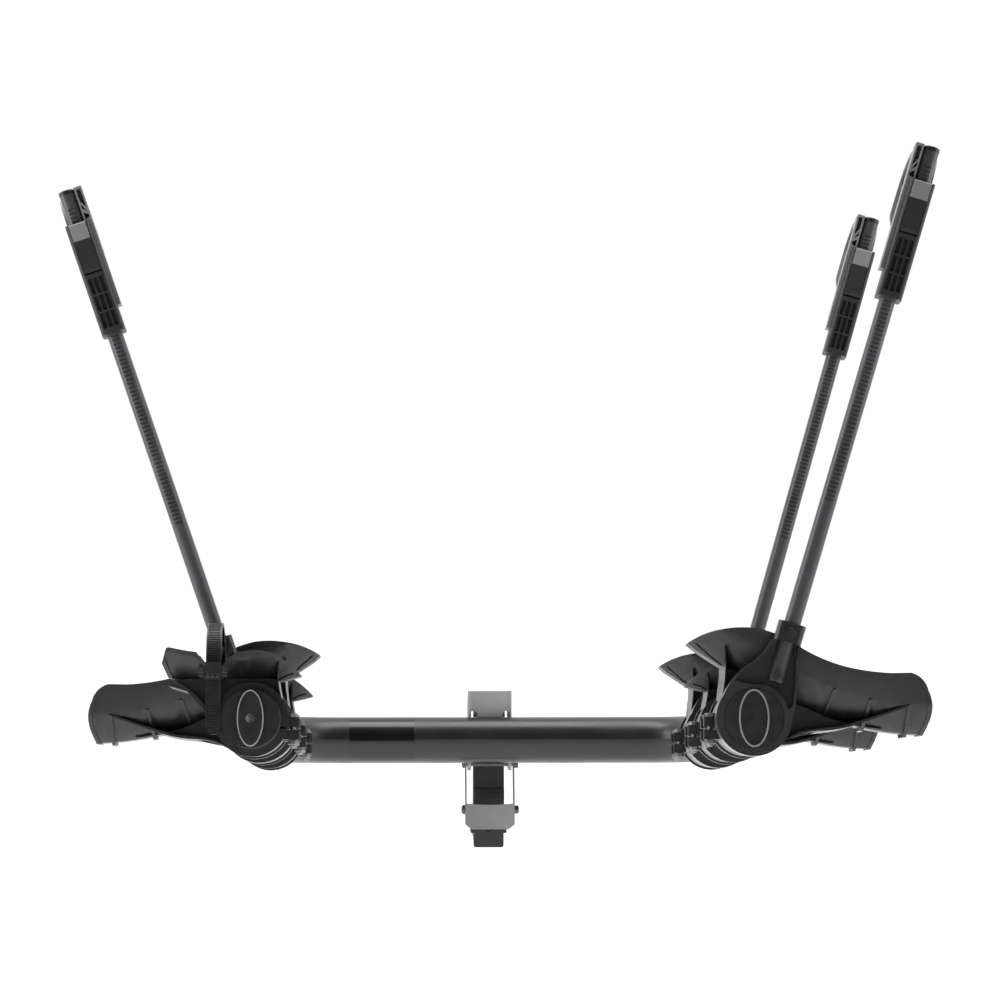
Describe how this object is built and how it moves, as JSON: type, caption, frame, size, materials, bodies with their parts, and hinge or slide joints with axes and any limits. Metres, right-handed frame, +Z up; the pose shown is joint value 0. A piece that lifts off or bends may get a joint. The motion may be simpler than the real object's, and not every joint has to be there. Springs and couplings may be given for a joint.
{
  "type": "hitch mounted bike rack",
  "caption": "Platform bike rack for a hitch receiver: a folding U frame carries wheel trays, swing-up wheel arms with ratchet hooks, tyre straps and a foot-pedal latch.",
  "frame": {"origin": "centre of the hitch pin's hole, on the stinger's mid-plane", "axes": "+X to the right seen from behind the vehicle and along the hitch pin, +Y towards the vehicle, +Z up"},
  "size_m": [1.3125, 1.2209, 1.0915],
  "materials": {
    "arm_paint": "satin",
    "bolt_black": "satin",
    "bolt_silver": "satin",
    "bracket_paint": "satin",
    "buckle_plastic": "moulded",
    "bumper_rubber": "matt",
    "cap_plastic": "gloss",
    "frame_paint": "satin powder coat",
    "grip_plastic": "moulded",
    "head_paint": "satin",
    "hook_grey": "moulded",
    "knob_plastic": "gloss",
    "lever_grey": "moulded, two tone",
    "lock_chrome": "bright",
    "pad_rubber": "matt",
    "pedal_paint": "satin",
    "plug_black": "satin",
    "plug_plastic": "matt",
    "saddle_paint": "satin",
    "stinger_paint": "satin",
    "strap_black": "toothed",
    "tray_plastic": "moulded"
  },
  "bodies": {
    "hitch_mount": {"stinger_tube": "stinger_paint", "pivot_head": "head_paint", "head_bumper": "bumper_rubber", "stinger_plug": "plug_plastic", "pivot_bolt": "bolt_black"},
    "rack_frame": {"frame_tube": "frame_paint", "frame_saddle": "saddle_paint", "end_cap": "cap_plastic", "lock_socket": "plug_plastic", "pedal_bolt": "bolt_silver", "clamp_bolts": "bolt_silver", "snap_rings": "bolt_silver", "arm_tray_outer": "tray_plastic", "strap_tray_outer": "tray_plastic", "wheel_strap_outer": "strap_black", "buckle_base_outer": "buckle_plastic", "buckle_pin_outer": "bolt_silver", "arm_tray_middle": "tray_plastic", "strap_tray_middle": "tray_plastic", "wheel_strap_middle": "strap_black", "buckle_base_middle": "buckle_plastic", "buckle_pin_middle": "bolt_silver", "arm_tray_inner": "tray_plastic", "strap_tray_inner": "tray_plastic", "wheel_strap_inner": "strap_black", "buckle_base_inner": "buckle_plastic", "buckle_pin_inner": "bolt_silver"},
    "pedal": {"foot_pedal": "pedal_paint", "pedal_crossbar": "bolt_silver"},
    "latch": {"latch_pin": "bolt_silver"},
    "lock_knob": {"lock_knob": "knob_plastic"},
    "lock_core": {"lock_core": "lock_chrome"},
    "wheel_arm_outer": {"arm_bracket_outer": "bracket_paint", "arm_tube_outer": "arm_paint", "arm_bolts_outer": "bolt_black", "arm_end_plug_outer": "plug_black"},
    "hook_outer": {"hook_grip_outer": "grip_plastic", "hook_frame_outer": "hook_grey", "hook_pad_outer": "pad_rubber"},
    "lever_outer": {"release_lever_outer": "lever_grey"},
    "buckle_outer": {"buckle_lever_outer": "buckle_plastic"},
    "wheel_arm_middle": {"arm_bracket_middle": "bracket_paint", "arm_tube_middle": "arm_paint", "arm_bolts_middle": "bolt_black", "arm_end_plug_middle": "plug_black"},
    "hook_middle": {"hook_grip_middle": "grip_plastic", "hook_frame_middle": "hook_grey", "hook_pad_middle": "pad_rubber"},
    "lever_middle": {"release_lever_middle": "lever_grey"},
    "buckle_middle": {"buckle_lever_middle": "buckle_plastic"},
    "wheel_arm_inner": {"arm_bracket_inner": "bracket_paint", "arm_tube_inner": "arm_paint", "arm_bolts_inner": "bolt_black", "arm_end_plug_inner": "plug_black"},
    "hook_inner": {"hook_grip_inner": "grip_plastic", "hook_frame_inner": "hook_grey", "hook_pad_inner": "pad_rubber"},
    "lever_inner": {"release_lever_inner": "lever_grey"},
    "buckle_inner": {"buckle_lever_inner": "buckle_plastic"}
  },
  "joints": [
    {"name": "frame_fold", "type": "hinge", "parent": "hitch_mount", "child": "rack_frame", "pos_m": [0, -0.18, 0.172], "axis": [1, 0, 0], "range_deg": [-85, 30]},
    {"name": "pedal_press", "type": "hinge", "parent": "rack_frame", "child": "pedal", "pos_m": [0, -0.237, 0.112], "axis": [1, 0, 0], "range_deg": [-8, 4], "stiffness_Nm_per_rad": 4},
    {"name": "latch_slide", "type": "slide", "parent": "rack_frame", "child": "latch", "axis": [0, -0.342, -0.9397], "range_m": [-0.0038, 0.0076]},
    {"name": "knob_pull", "type": "slide", "parent": "rack_frame", "child": "lock_knob", "axis": [0, -0.9962, 0.0872], "range_m": [0, 0.04]},
    {"name": "key_turn", "type": "hinge", "parent": "lock_knob", "child": "lock_core", "pos_m": [-0.3575, -1.13169, 0.22883], "axis": [0, -0.9962, 0.0872], "range_deg": [0, 90]},
    {"name": "arm_fold_outer", "type": "hinge", "parent": "rack_frame", "child": "wheel_arm_outer", "pos_m": [0.3575, -1.13169, 0.22883], "axis": [0, 0.9962, -0.0872], "range_deg": [-90, 60]},
    {"name": "hook_slide_outer", "type": "slide", "parent": "wheel_arm_outer", "child": "hook_outer", "axis": [0.2907, 0.0834, 0.9532], "range_m": [-0.295, 0]},
    {"name": "lever_press_outer", "type": "hinge", "parent": "hook_outer", "child": "lever_outer", "pos_m": [0.60053, -1.0726, 0.9731], "axis": [0.9568, -0.0253, -0.2896], "range_deg": [-9, 0], "stiffness_Nm_per_rad": 0.6},
    {"name": "buckle_open_outer", "type": "hinge", "parent": "rack_frame", "child": "buckle_outer", "pos_m": [-0.412, -1.1054, 0.2998], "axis": [1, 0, 0], "range_deg": [-60, 0], "stiffness_Nm_per_rad": 0.05},
    {"name": "arm_fold_middle", "type": "hinge", "parent": "rack_frame", "child": "wheel_arm_middle", "pos_m": [-0.3575, -0.83283, 0.20268], "axis": [0, 0.9962, -0.0872], "range_deg": [-60, 90]},
    {"name": "hook_slide_middle", "type": "slide", "parent": "wheel_arm_middle", "child": "hook_middle", "axis": [-0.3272, 0.0824, 0.9414], "range_m": [-0.295, 0]},
    {"name": "lever_press_middle", "type": "hinge", "parent": "hook_middle", "child": "lever_middle", "pos_m": [-0.62901, -0.7746, 0.93711], "axis": [0.9449, 0.0285, 0.326], "range_deg": [-9, 0], "stiffness_Nm_per_rad": 0.6},
    {"name": "buckle_open_middle", "type": "hinge", "parent": "rack_frame", "child": "buckle_middle", "pos_m": [0.412, -0.80654, 0.27366], "axis": [1, 0, 0], "range_deg": [-60, 0], "stiffness_Nm_per_rad": 0.05},
    {"name": "arm_fold_inner", "type": "hinge", "parent": "rack_frame", "child": "wheel_arm_inner", "pos_m": [0.3575, -0.53397, 0.17653], "axis": [0, 0.9962, -0.0872], "range_deg": [-90, 60]},
    {"name": "hook_slide_inner", "type": "slide", "parent": "wheel_arm_inner", "child": "hook_inner", "axis": [0.2773, 0.0837, 0.9571], "range_m": [-0.295, 0]},
    {"name": "lever_press_inner", "type": "hinge", "parent": "hook_inner", "child": "lever_inner", "pos_m": [0.59008, -0.47459, 0.92412], "axis": [0.9608, -0.0242, -0.2763], "range_deg": [-9, 0], "stiffness_Nm_per_rad": 0.6},
    {"name": "buckle_open_inner", "type": "hinge", "parent": "rack_frame", "child": "buckle_inner", "pos_m": [-0.412, -0.50769, 0.24751], "axis": [1, 0, 0], "range_deg": [-60, 0], "stiffness_Nm_per_rad": 0.05}
  ],
  "couplings": [
    {"joint": "latch_slide", "follows": "pedal_press", "m_per_rad": -0.053}
  ]
}
